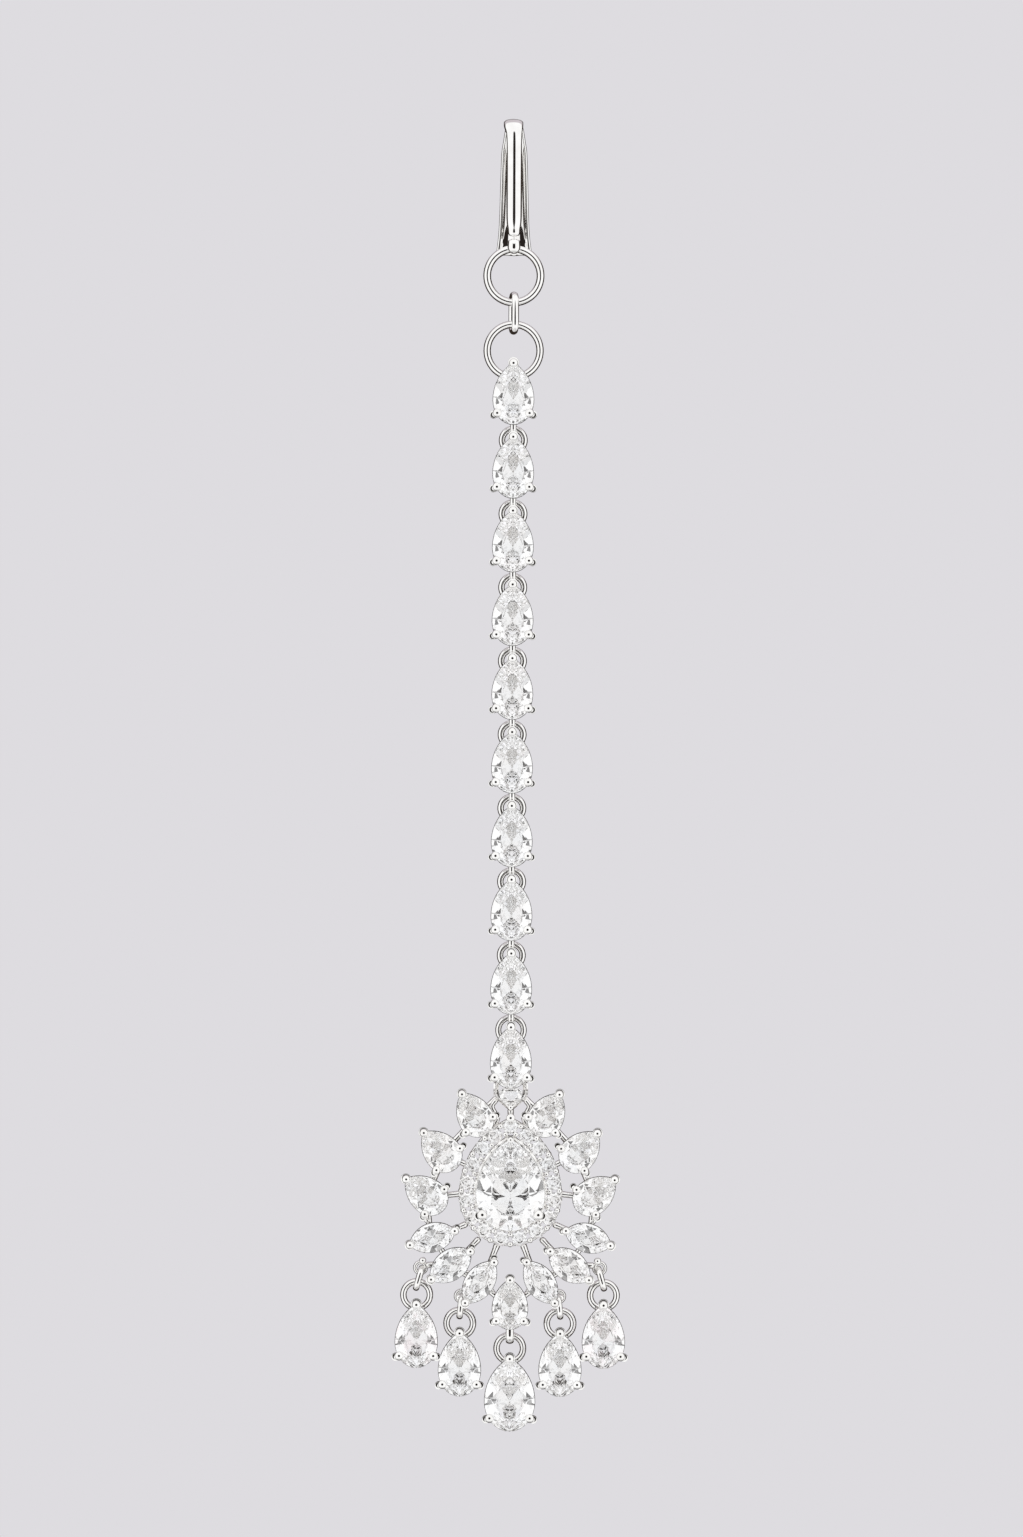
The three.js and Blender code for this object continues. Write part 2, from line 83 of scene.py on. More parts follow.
# The chain
RING_PLANE = 1.0
JOINING_HOLE = (-16.98, -20.1)
JOINING_TWIST = 12
CHAIN_TOP = -27.3
PITCH = 7.37
CHAIN_COUNT = 9
CHAIN_STONE = Outline(4.05, 3.7, 2.45)
WIRE_BELOW = 2.82  # from a belly down to the wire that its eye holds
WIRE_HALF = 0.25
PLAY = 0.15
# Rings behind the settings: height of the centre, radius, radius of the wire
FIRST_RING = (5.0, 2.65, 0.37)
CHAIN_RING = (3.4, 1.13, 0.32)
BAIL_RING = (3.275, 1.275, 0.3)

# The pendant, from the belly of its centre stone
PENDANT_Z = -106.8
BAIL_Z = CHAIN_TOP - CHAIN_COUNT * PITCH - PENDANT_Z
CENTRE_STONE = Outline(6.77, 5.68, 3.44)
CREST_STONE = Outline(2.3, 1.2, 0.65)
CREST_LEVELS = (-0.9, -0.98, -1.2)
CREST_Z = 10.2
FOOT_PETAL = Outline(3.53, 3.0, 2.0)
FOOT_Z = -11.4

# The halo
HALO_LINE = Outline(8.85, 6.9, 4.4)
HALO_COUNT = 17
HALO_STONE = Outline(1.54, 0.77, 0.77)
HALO_LEVELS = (-1.45, -1.5, -1.6)
HALO_TURN = 0.37  # radians from one small stone to the next, so that no two flash alike
GRAIN_RADIUS = 0.27
GRAIN_Y = -1.62
GRAIN_REACHES = (0.48, -0.5)

Petal = namedtuple("Petal", "tip_x tip_z turn shape")
PETALS = [
    Petal(4.9, 10.14, 30, Outline(3.45, 2.9, 1.85)),
    Petal(8.71, 6.26, 43, Outline(3.55, 3.0, 1.85)),
    Petal(10.46, 1.61, 52, Outline(3.5, 3.0, 1.9)),
    Petal(10.07, -5.03, 108, Outline(2.85, 2.4, 2.4, True)),
    Petal(7.94, -8.48, 126, Outline(3.0, 2.47, 2.47, True)),
    Petal(4.52, -10.83, 145, Outline(2.85, 2.55, 2.55, True)),
]

# The openwork
BAR_Y = -0.18
BAR_RADIUS = 0.26
BAR_FLARE = 1.3
# Bars of the right half: from x, z to x, z
BARS = [
    (0.6, 12, 0.7, 11.1),
    (1.3, 9.75, 2.85, 8.3),
    (2.6, 7.3, 0.95, 6.75),
    (2.95, 6.75, 2.05, 5.4),
    (4.2, 6.9, 5.95, 5.0),
    (5.8, 3.6, 3.95, 2.75),
    (6.95, 3.1, 7.95, 0.8),
    (7.2, -0.2, 4.7, 0.1),
    (8.25, -1.3, 8.05, -3.6),
    (6.6, -3.9, 4.2, -2.9),
    (7.3, -4.9, 6.3, -6.5),
    (4.9, -6.3, 3.0, -4.3),
    (5.3, -7.5, 3.55, -8.6),
    (2.35, -7.8, 1.25, -4.9),
    (2.65, -9.2, 0.85, -10.6),
    (2.3, 0.3, 4.1, 0.3),
    (1.6, -2.1, 2.6, -3.2),
]
CREST_STEM = (0, 8.75, 0, 6.4)
# The curled wire beside the crest, right half: x, z
CURL = [(1.35, 9.6), (1.95, 8.85), (1.6, 8.15), (1.25, 7.6), (1.7, 6.8)]
CURL_Y = BAR_Y - 0.2
CURL_WIRE = 0.24
# Beads of the right half, on the bars and between the petals: x, z, radius
BEADS = [
    (7.5, 2.3, 0.3),
    (7.75, 1.65, 0.26),
    (7.3, 1.0, 0.28),
    (8.3, -2.65, 0.3),
    (4.32, -7.85, 0.3),
    (1.84, -9.66, 0.28),
    (8.75, -6.65, 0.36),
    (5.1, -10.35, 0.34),
]
BEAD_Y = BAR_Y - 0.15

# The drops: belly, start of the stub that carries the link's eye, and the link's lean
Drop = namedtuple("Drop", "word x z stub_x stub_z lean")
DROPS = [Drop("outer", 9.35, -14.67, 6.75, -6.95, 16), Drop("inner", 5.02, -17.5, 3.75, -9.9, 6)]
DROP_STONE = Outline(4.2, 3.8, 2.55)
MIDDLE_DROP_STONE = Outline(5.0, 4.35, 2.95)
MIDDLE_DROP_Z = -20.55
DROP_RING_RADIUS = 1.33
DROP_RING_ABOVE = 0.77
DROP_RING_WIRE = 0.32
DROP_EYE_RADIUS = 0.55
DROP_EYE_WIRE = 0.2
LINK_HOLE = 1.62
LINK_PLAY = 0.14
LINK_LEAN_REACH = 1.4


# Shader expressions

class Value:
    """A shader socket that takes part in Python arithmetic."""

    def __init__(self, socket, finish):
        self.socket = socket
        self.finish = finish

    def math(self, operation, *others):
        return self.finish.node("ShaderNodeMath", {"operation": operation}, [self, *others])

    def __add__(self, other):
        return self.math("ADD", other)

    def __mul__(self, other):
        return self.math("MULTIPLY", other)

    def __rsub__(self, other):
        return self.finish.node("ShaderNodeMath", {"operation": "SUBTRACT"}, [other, self])

    __radd__ = __add__
    __rmul__ = __mul__

    def step(self, low, high):
        """0 below low, 1 above high and smooth between."""
        settings = {"interpolation_type": "SMOOTHSTEP"}
        return self.finish.node("ShaderNodeMapRange", settings, [self, low, high, 0.0, 1.0])


class Finish:
    """A node tree, with one way to add a node."""

    def __init__(self, owner):
        owner.use_nodes = True
        self.tree = owner.node_tree
        self.tree.nodes.clear()

    def node(self, kind, settings=None, inputs=(), out=0):
        made = self.tree.nodes.new(kind)
        for name, setting in (settings or {}).items():
            if name == "stops":
                ramp = made.color_ramp
                while len(ramp.elements) < len(setting):
                    ramp.elements.new(1.0)
                for element, (place, colour) in zip(ramp.elements, setting):
                    element.position = place
                    element.color = colour
            else:
                setattr(made, name, setting)
        pairs = inputs.items() if isinstance(inputs, dict) else enumerate(inputs)
        for key, given in pairs:
            if isinstance(given, Value):
                self.tree.links.new(given.socket, made.inputs[key])
            else:
                made.inputs[key].default_value = given
        return Value(made.outputs[out], self) if made.outputs else None


def polished_metal():
    """Mirror-bright white plating with a faint polishing haze and slow waves from the wheel."""
    material = bpy.data.materials.new("polished_white_metal")
    finish = Finish(material)
    place = finish.node("ShaderNodeTexCoord", out="Object")
    noise = {"noise_dimensions": "3D"}
    haze = finish.node("ShaderNodeTexNoise", noise, {"Vector": place, "Scale": 900.0, "Detail": 3.0})
    wave = finish.node("ShaderNodeTexNoise", noise, {"Vector": place, "Scale": 420.0, "Detail": 1.0})
    tone = finish.node(
        "ShaderNodeValToRGB",
        {"stops": [(0.35, (0.90, 0.89, 0.875, 1)), (0.65, (0.97, 0.965, 0.955, 1))]},
        [haze],
    )
    ripple = finish.node("ShaderNodeBump", {}, {"Strength": 0.12, "Distance": 0.00004, "Height": wave})
    metal = finish.node(
        "ShaderNodeBsdfPrincipled",
        {},
        {"Base Color": tone, "Metallic": 1.0, "Roughness": haze * 0.07 + 0.015, "Normal": ripple},
    )
    finish.node("ShaderNodeOutputMaterial", {}, {"Surface": metal})
    return material


def clear_stone(name, tint):
    """Water-clear stone with a breath of colour that drifts through it."""
    material = bpy.data.materials.new(name)
    finish = Finish(material)
    place = finish.node("ShaderNodeTexCoord", out="Object")
    drift = finish.node("ShaderNodeTexNoise", {}, {"Vector": place, "Scale": 520.0, "Detail": 2.0})
    body = finish.node(
        "ShaderNodeValToRGB",
        {"stops": [(0.38, tint), (0.5, (1, 1, 1, 1)), (0.64, (0.975, 0.985, 1, 1))]},
        [drift],
    )
    stone = finish.node(
        "ShaderNodeBsdfPrincipled",
        {},
        {
            "Base Color": body,
            "Metallic": 0.0,
            "Roughness": drift * 0.01,
            "IOR": 2.16,
            "Transmission Weight": 1.0,
        },
    )
    finish.node("ShaderNodeOutputMaterial", {}, {"Surface": stone})
    return material


METAL = polished_metal()
STONE = clear_stone("clear_stone", (1, 0.985, 0.98, 1))
BLUSH_STONE = clear_stone("blush_stone", (1, 0.93, 0.945, 1))


# Outlines

def arc(height, half, steps):
    """A side arc from the belly up to a tip: point and outward direction of each step."""
    radius = (height * height + half * half) / (2 * half)
    full = math.asin(min(1.0, height / radius))
    for i in range(steps + 1):
        turn = full * i / steps
        along = (math.cos(turn), math.sin(turn))
        yield (radius * along[0] - (radius - half), radius * along[1]), along


def right_side(shape, steps=60):
    """The right side from the tip down to the foot: (length so far, point, direction)."""
    half = shape.width / 2
    side = [(Vector(p), Vector(n)) for p, n in arc(shape.tip, half, steps)][::-1]
    if shape.pointed:
        for p, n in list(arc(shape.base, half, steps))[1:]:
            side.append((Vector((p[0], -p[1])), Vector((n[0], -n[1]))))
    else:
        for i in range(1, steps + 1):
            turn = math.pi / 2 * i / steps
            point = Vector((half * math.cos(turn), -shape.base * math.sin(turn)))
            out = Vector((math.cos(turn) / half, -math.sin(turn) / shape.base))
            side.append((point, out.normalized()))
    length = 0.0
    run = []
    last = side[0][0]
    for point, out in side:
        length += (point - last).length
        last = point
        run.append((length, point, out))
    return run


def edge(shape, share):
    """Point and outward direction at a share of the way round, from the tip to the right."""
    share %= 1.0
    mirrored = share > 0.5
    run = right_side(shape)
    wanted = (1 - share if mirrored else share) * 2 * run[-1][0]
    _, point, out = min(run, key=lambda step: abs(step[0] - wanted))
    if mirrored:
        point = Vector((-point.x, point.y))
        out = Vector((-out.x, out.y))
    return Vector((point.x, 0, point.y)), Vector((out.x, 0, out.y))


def grown(shape, by):
    """The outline moved out by a distance, a little more where it runs to a point."""
    pointed = 1.15
    foot = pointed if shape.pointed else 1.0
    return Outline(shape.width + 2 * by, shape.tip + pointed * by, shape.base + foot * by, shape.pointed)


def scaled(shape, share):
    return Outline(shape.width * share, shape.tip * share, shape.base * share, shape.pointed)


def bearing_share(shape, bearing):
    """The share of the way round at which the outline lies in that direction, in degrees."""
    wanted = math.radians(abs(bearing))
    run = right_side(shape)
    near = min(run, key=lambda step: abs(math.atan2(step[1].x, step[1].y) - wanted))
    share = near[0] / run[-1][0] / 2
    return share if bearing >= 0 else 1 - share


# Modelling steps

def select_only(*pieces):
    bpy.ops.object.select_all(action="DESELECT")
    for piece in pieces:
        piece.select_set(True)
    bpy.context.view_layer.objects.active = pieces[0]


def begin(add, **settings):
    """Adds a primitive by itself and returns it."""
    bpy.ops.object.select_all(action="DESELECT")
    add(**settings)
    piece = bpy.context.object
    bpy.ops.object.transform_apply(location=True, rotation=True, scale=True)
    return piece


def open_edit(piece, select="SELECT"):
    select_only(piece)
    bpy.ops.object.mode_set(mode="EDIT")
    bpy.ops.mesh.select_all(action=select)


def close_edit():
    bpy.ops.object.mode_set(mode="OBJECT")


def pick(piece, wanted, kind="vertices"):
    """Selects what wanted says of each vertex place, or of each face, and nothing else."""
    open_edit(piece, "DESELECT")
    mode = "VERT" if kind == "vertices" else "FACE"
    bpy.ops.mesh.select_mode(type=mode)
    close_edit()
    if kind == "vertices":
        for vertex in piece.data.vertices:
            vertex.select = wanted(vertex.co)
    else:
        for face in piece.data.polygons:
            face.select = wanted(face)
    bpy.ops.object.mode_set(mode="EDIT")


def cut(place, out):
    """Cuts away what lies beyond a flat plane and closes the cut."""
    bpy.ops.mesh.select_all(action="SELECT")
    bpy.ops.mesh.bisect(
        plane_co=place, plane_no=out, use_fill=True, clear_outer=True, threshold=1e-5
    )


def apply(piece, kind, **settings):
    select_only(piece)
    modifier = piece.modifiers.new(kind.title(), kind)
    for name, setting in settings.items():
        setattr(modifier, name, setting)
    bpy.ops.object.modifier_apply(modifier=modifier.name)


def joined(pieces):
    select_only(*pieces)
    if len(pieces) > 1:
        bpy.ops.object.join()
    return bpy.context.view_layer.objects.active


def smooth(piece, degrees):
    select_only(piece)
    bpy.ops.object.shade_smooth_by_angle(angle=math.radians(degrees))
    return piece


def moved(piece, *place):
    """Moves a piece's mesh and leaves its object at the origin."""
    piece.data.transform(Matrix.Translation(place))
    return piece


def twin_of(master):
    """A copy of a piece with a mesh of its own."""
    twin = master.copy()
    twin.data = master.data.copy()
    bpy.context.collection.objects.link(twin)
    return twin


def scrap(*masters):
    for master in masters:
        bpy.data.objects.remove(master, do_unlink=True)


# Wires, beads and rails

def bent_wire(stations, levels=2):
    """A round wire through (place, radius) stations, drawn out point by point and rounded."""
    rounding_loss = 1.22
    places = [Vector(place) for place, _ in stations]
    wire = begin(bpy.ops.mesh.primitive_plane_add, size=0.1, location=places[0])
    open_edit(wire)
    bpy.ops.mesh.merge(type="CENTER")
    for before, after in zip(places, places[1:]):
        bpy.ops.mesh.extrude_region_move(TRANSFORM_OT_translate={"value": after - before})
    close_edit()
    modifier = wire.modifiers.new("Wire", "SKIN")
    modifier.use_smooth_shade = True
    for vertex, skin in zip(wire.data.vertices, wire.data.skin_vertices[0].data):
        near = min(range(len(places)), key=lambda i: (places[i] - vertex.co).length)
        skin.radius = [stations[near][1] * rounding_loss] * 2
    bpy.ops.object.modifier_apply(modifier="Wire")
    apply(wire, "SUBSURF", levels=levels, render_levels=levels)
    return wire


def ball(place, radius, press=0.65, segments=20, rings=12):
    """A bead whose front is pressed flatter than its back."""
    bead = begin(
        bpy.ops.mesh.primitive_uv_sphere_add,
        segments=segments,
        ring_count=rings,
        radius=radius,
        rotation=(math.pi / 2, 0, 0),
    )
    pick(bead, lambda co: co.y < -radius * 0.05)
    bpy.ops.transform.resize(value=(1, press, 1), center_override=(0, 0, 0))
    close_edit()
    return smooth(moved(bead, *place), 80)


def face_ring(radius, wire, z, y=0.0, segments=56):
    """A round wire ring that faces the front, drawn a little deeper than it is wide."""
    ring = begin(
        bpy.ops.mesh.primitive_torus_add,
        major_radius=radius,
        minor_radius=wire,
        major_segments=segments,
        minor_segments=14,
        rotation=(math.pi / 2, 0, 0),
    )
    open_edit(ring)
    bpy.ops.transform.resize(value=(1, 1.12, 1), center_override=(0, 0, 0))
    close_edit()
    return smooth(moved(ring, 0, y, z), 80)


def edge_link(hole_top, hole_bottom, half_hole, wide, thick):
    """A long link seen edge on: a round link whose upper half is drawn out."""
    link = begin(
        bpy.ops.mesh.primitive_torus_add,
        major_radius=half_hole + thick,
        minor_radius=thick,
        major_segments=32,
        minor_segments=12,
        rotation=(0, math.pi / 2, 0),
    )
    pick(link, lambda co: co.z > 1e-4)
    stretch = hole_top - hole_bottom - 2 * half_hole
    bpy.ops.transform.translate(value=(0, 0, stretch))
    bpy.ops.mesh.select_all(action="SELECT")
    bpy.ops.transform.resize(value=(wide / thick, 1, 1), center_override=(0, 0, 0))
    close_edit()
    return smooth(moved(link, 0, 0, hole_bottom + half_hole), 80)


def prism(shape, front, back, sides):
    """A flat-faced block with the outline's walls, cut from a block of metal or stone."""
    spare = 2
    block = begin(
        bpy.ops.mesh.primitive_cube_add,
        size=1,
        location=(0, (front + back) / 2, (shape.tip - shape.base) / 2),
        scale=(shape.width + spare, back - front, shape.tip + shape.base + spare),
    )
    open_edit(block)
    for i in range(sides):
        place, out = edge(shape, (i + 0.5) / sides)
        cut(place, out)
    close_edit()
    return block


def opened(band, wall, soften, segments=1):
    """Opens a block through its front and back, leaves a wall and bevels its edges."""
    pick(band, lambda face: abs(face.normal.y) > 0.9, "faces")
    bpy.ops.mesh.inset(thickness=wall, depth=0, use_even_offset=True)
    bpy.ops.mesh.bridge_edge_loops()
    close_edit()
    if soften:
        apply(
            band,
            "BEVEL",
            width=soften,
            segments=segments,
            limit_method="ANGLE",
            angle_limit=math.radians(50),
        )
    return smooth(band, 35)


def rail(shape, wall, front, back, soften=0.08):
    """A band between an outline and the same outline set in, with softened edges."""
    return opened(prism(shape, front, back, sides=36), wall, soften, segments=3)


# Stones

def levels_of(width):
    """Where a stone's girdle ends behind and in front, and where its table lies."""
    low = GIRDLE_BACK - PAVILION * width
    high = low - GIRDLE * width
    return low, high, high - CROWN * width


def facet(place, out, reach, depth):
    """A plane along the girdle that slopes from a place inwards by reach and by depth in y."""
    along = Vector((-out.z, 0, out.x))
    slope = Vector((-reach.x, depth, -reach.z))
    normal = along.cross(slope).normalized()
    if normal.dot(out) < 0:
        normal = -normal
    cut(place, normal)


def cut_stone(shape, levels=None, mains=8, girdle_sides=32, culet=0.405, halves=False):
    """A brilliant-cut stone: girdle, table, main, half and star facets, pavilion."""
    low, high, table = levels or levels_of(shape.width)
    deep = low + culet * shape.width
    stone = prism(shape, table, deep + 0.5, girdle_sides)
    crown = table - high
    pavilion = deep - low
    above = Vector((0, high, 0))
    below = Vector((0, low, 0))
    open_edit(stone)
    for i in range(mains):
        place, out = edge(shape, (i + 0.5) / mains)
        facet(place + above, out, place * (1 - TABLE), crown)
        facet(place + below, out, place, pavilion)
    for i in range(2 * mains if halves else 0):
        place, out = edge(shape, (i + 0.5) / (2 * mains))
        facet(place + above, out, place * (1 - TABLE), crown * HALF_CROWN)
        facet(place + below, out, place, pavilion * HALF_PAVILION)
    for i in range(mains):
        place, out = edge(shape, i / mains)
        if i == 0 or (shape.pointed and i == mains / 2):
            continue
        star = place * TABLE * STAR_REACH + Vector((0, table, 0))
        facet(star, out, place * (1 - TABLE), crown * STAR_SLOPE)
    close_edit()
    return stone


# Claws and seats

def shoulder(place, radius, front, back):
    """The cut-off end of a claw's wire, beside and behind its ball."""
    stub = begin(
        bpy.ops.mesh.primitive_cylinder_add,
        vertices=20,
        radius=radius,
        depth=back - front,
        location=(place.x, (front + back) / 2, place.z),
        rotation=(math.pi / 2, 0, 0),
    )
    apply(stub, "BEVEL", width=radius * 0.06, segments=2, limit_method="ANGLE")
    return smooth(stub, 25)


def claw(shape, bearing, size=CLAW_SIZE, shank=CLAW_SHANK, share=RAIL_SHARE):
    """A claw from the rail, past the girdle, to a ball that is pressed onto the crown."""
    root_y = -0.18
    clear = 0.14
    over_girdle = -0.06
    low, high, _ = levels_of(shape.width)
    place, out = edge(shape, bearing_share(shape, bearing))
    at_tip = bearing == 0
    if at_tip:
        out = Vector((0, 0, 1))
    beside = clear + shank
    head = size * 0.6
    ball_y = high - 0.12 - head * 0.8

    def spot(away, y):
        return place + out * away + Vector((0, y, 0))

    post = bent_wire(
        [
            (place * share + Vector((0, root_y, 0)), shank),
            (spot(beside * 0.9, low + shank * 1.6), shank * 1.05),
            (spot(beside * 0.95, high + 0.02), shank),
            (spot(over_girdle + head * 0.35, ball_y + 0.06), shank * 0.95),
        ]
    )
    stub_place = spot(0.0, 0) if at_tip else spot(0.35, 0) + Vector((0, 0, 0.06))
    stub_radius = size * (1.2 if at_tip else 0.86)
    stub = shoulder(stub_place, stub_radius, ball_y + 0.1, low + 0.3)
    return joined([post, stub, ball(spot(over_girdle, ball_y), size)])


def seat(shape, bearings, size=CLAW_SIZE):
    """The rail and the thin bearing rail under a stone, with the claws that hold it."""
    low, _, _ = levels_of(shape.width)
    pieces = [
        rail(scaled(shape, RAIL_SHARE), RAIL_WALL, RAIL_FRONT, 0.0),
        rail(grown(shape, 0.05), wall=0.14, front=low + 0.08, back=low + 0.3, soften=0),
    ]
    for bearing in bearings:
        pieces.append(claw(shape, bearing, size))
    return pieces


def below_rail(shape):
    """The height just below the foot of the rail under a stone."""
    return -shape.base * RAIL_SHARE - 0.1


# Placing

def put(master, name, body, nodes, material, places):
    """Joins copies of a master at places into one piece of the jewel."""
    copies = []
    for place in places:
        twin = twin_of(master)
        twin.data.transform(Matrix.Scale(MM, 4) @ place)
        copies.append(twin)
    piece = joined(copies)
    piece.name = name
    piece.data.name = name
    piece.data.materials.clear()
    piece.data.materials.append(material)
    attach(piece, body)
    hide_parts(*nodes)


def at(x, z, turn=0.0, y=RING_PLANE):
    """A place in the jewel, in millimetres, turned by an angle about the line of sight."""
    return Matrix.Translation((x, y, z)) @ Matrix.Rotation(turn, 4, "Y")


def metal_piece(master, name, body, node, place):
    put(master, name, body, [node], METAL, [place])


def stone_piece(master, name, body, node, *places, material=STONE):
    put(master, name, body, [node], material, places)


# The hook

BEND_Z = -0.65
BEND_RADIUS = 1.05
HOOK_RING_Z = -14.79
HOOK_RING_RADIUS = 2.675
HOOK_RING_WIRE = 0.39
BULB_RADIUS = 0.65
BULB_Z = -12.14
RIDGE = 0.03
# Height, half width and half thickness of the strip, from the neck up to the bend
TONGUE = [
    (-11.1, 0.58, 0.4),
    (-10.55, 0.6, 0.42),
    (-10.3, 0.62, 0.46),
    (-9.8, 0.77, 0.6),
    (-8.6, 0.8, 0.66),
    (-4.0, 0.79, 0.62),
    (-1.6, 0.77, 0.5),
    (BEND_Z, 0.77, 0.4),
]
STRIP_BEHIND = [(-1.0, 0.9, 0.36), (-1.8, 1.0, 0.3), (-3.0, 0.8, 0.2)]
# How far the left and the right side of the bend spread
BEND_SPREAD = ((-1, 0.3), (1, 0.12))
# Height and half width of the plate, from its shoulder down
PLATE = [
    (-0.75, 1.28),
    (-1.3, 1.48),
    (-2.4, 1.56),
    (-4.2, 1.64),
    (-7.4, 1.74),
    (-9.4, 1.84),
    (-10.9, 2.02),
    (-12.0, 2.3),
]
PLATE_THICKNESS = 0.42
PLATE_SHOULDER = 0.72  # width of its top row, as a share of the next
# How far the plate's front stands out at shares of its half width
PLATE_RISE = ((0.0, 0.54), (0.25, 0.43), (0.5, 0.3), (0.75, 0.16))


def draw_strip(stations, y, height, width, thick):
    """Extrudes the selected end of the strip to each station."""
    for z, wide, deep in stations:
        bpy.ops.mesh.extrude_region_move(TRANSFORM_OT_translate={"value": (0, 0, z - height)})
        bpy.ops.transform.resize(
            value=(wide / width, deep / thick, 1), center_override=(0, y, z)
        )
        height, width, thick = z, wide, deep
    return height, width, thick


def hook_strip():
    """The tongue, ridged in front, bent over the top and led down behind the plate."""
    low, wide, deep = TONGUE[0]
    centre = (0, -BEND_RADIUS, low)
    strip = begin(
        bpy.ops.mesh.primitive_circle_add, vertices=24, radius=1, fill_type="NGON", location=centre
    )
    pick(strip, lambda co: abs(co.x) < 0.1 and co.y < -BEND_RADIUS)
    bpy.ops.transform.translate(value=(0, -RIDGE, 0))
    bpy.ops.mesh.select_all(action="SELECT")
    bpy.ops.transform.resize(value=(wide, deep, 1), center_override=centre)
    end = draw_strip(TONGUE[1:], -BEND_RADIUS, low, wide, deep)
    bpy.ops.mesh.spin(steps=14, angle=math.pi, center=(0, 0, BEND_Z), axis=(1, 0, 0))
    draw_strip(STRIP_BEHIND, BEND_RADIUS, *end)
    bpy.ops.mesh.select_all(action="SELECT")
    bpy.ops.mesh.remove_doubles(threshold=1e-4)
    bpy.ops.mesh.normals_make_consistent(inside=False)
    close_edit()
    for side, reach in BEND_SPREAD:
        pick(strip, lambda co: side * co.x > 0.5 and co.z > BEND_Z + 0.8)
        bpy.ops.transform.translate(
            value=(side * reach, 0, 0),
            use_proportional_edit=True,
            proportional_edit_falloff="SMOOTH",
            proportional_size=1.1,
        )
        close_edit()
    apply(strip, "SUBSURF", levels=1, render_levels=1)
    return smooth(strip, 60)


def hook_plate():
    """The hollow-backed plate, drawn down row by row, whose foot follows the ring."""
    top, half = PLATE[0]
    near = 0.05
    sheet = begin(
        bpy.ops.mesh.primitive_grid_add,
        x_subdivisions=8,
        y_subdivisions=1,
        size=2,
        location=(0, BEND_RADIUS, top + 0.2),
        rotation=(math.pi / 2, 0, 0),
        scale=(half, 0.2, 1),
    )
    for share, rise in PLATE_RISE:
        pick(sheet, lambda co: abs(abs(co.x) - share * half) < near)
        bpy.ops.transform.translate(value=(0, -rise, 0))
        close_edit()
    pick(sheet, lambda co: co.z > top + 0.1)
    bpy.ops.transform.resize(value=(PLATE_SHOULDER, 1, 1), center_override=(0, BEND_RADIUS, top))
    close_edit()
    pick(sheet, lambda co: co.z < top + 0.1)
    height = top
    for z, wide in PLATE[1:]:
        bpy.ops.mesh.extrude_region_move(TRANSFORM_OT_translate={"value": (0, 0, z - height)})
        bpy.ops.transform.resize(value=(wide / half, 1, 1), center_override=(0, BEND_RADIUS, z))
        height, half = z, wide
    close_edit()
    for i in range(5):
        across = half * i / 4
        foot = HOOK_RING_Z + math.sqrt(HOOK_RING_RADIUS**2 - across**2)
        pick(sheet, lambda co: abs(abs(co.x) - across) < near and co.z < height + near)
        bpy.ops.transform.translate(value=(0, 0, foot - height))
        close_edit()
    apply(sheet, "SOLIDIFY", thickness=PLATE_THICKNESS, offset=-1)
    apply(sheet, "SUBSURF", levels=2, render_levels=2)
    return smooth(sheet, 60)


def hook_bulb():
    """The bulb at the tongue's tip, drawn up towards the neck."""
    bulb = ball((0, 0, 0), BULB_RADIUS, press=0.8)
    pick(bulb, lambda co: co.z > 0.05)
    bpy.ops.transform.resize(value=(1, 1, 0.6), center_override=(0, 0, 0))
    bpy.ops.transform.translate(value=(0, 0, 0.5))
    close_edit()
    return moved(bulb, 0, -BEND_RADIUS, BULB_Z)


def hook():
    ring = face_ring(HOOK_RING_RADIUS, HOOK_RING_WIRE, HOOK_RING_Z, BEND_RADIUS - 0.05, 72)
    return joined([hook_strip(), hook_plate(), hook_bulb(), ring])


# Settings and stones of the chain

def chain_setting(ring_up, ring_radius, ring_wire):
    """A pear setting with a round ring behind its tip and an eye at its foot."""
    pieces = seat(CHAIN_STONE, PEAR_CLAWS)
    pieces.append(face_ring(ring_radius, ring_wire, ring_up))
    pieces.append(edge_link(below_rail(CHAIN_STONE), -WIRE_BELOW - WIRE_HALF - PLAY, *EYE_WIRE))
    return joined(pieces)


def build_chain():
    clip = hook()
    metal_piece(clip, "hair_hook", "chain", "hook", at(0, 0, y=0))
    link = edge_link(*JOINING_HOLE, *JOINING_WIRE)
    twist = Matrix.Rotation(math.radians(JOINING_TWIST), 4, "Z")
    metal_piece(link, "joining_link", "chain", "jump_link", at(0, 0) @ twist)
    first = chain_setting(*FIRST_RING)
    other = chain_setting(*CHAIN_RING)
    gem = cut_stone(CHAIN_STONE)
    for i in range(CHAIN_COUNT):
        number = f"{i + 1:02d}"
        spot = at(0, CHAIN_TOP - i * PITCH)
        master = first if i == 0 else other
        metal_piece(master, f"chain_claws_{number}", "chain", f"chain_setting_{number}", spot)
        stone_piece(gem, f"chain_gem_{number}", "chain", f"chain_stone_{number}", spot)
    stone_piece(gem, "bail_gem", "pendant", "bail_stone", at(0, PENDANT_Z + BAIL_Z))
    scrap(clip, link, first, other, gem)


# The pendant

def bar(from_x, from_z, to_x, to_z):
    """A polished rod with its ends flared into what it joins."""
    start = Vector((from_x, BAR_Y, from_z))
    end = Vector((to_x, BAR_Y, to_z))
    stations = [
        (start, BAR_RADIUS * BAR_FLARE),
        (start.lerp(end, 0.25), BAR_RADIUS),
        (start.lerp(end, 0.75), BAR_RADIUS),
        (end, BAR_RADIUS * BAR_FLARE),
    ]
    return bent_wire(stations, levels=1)


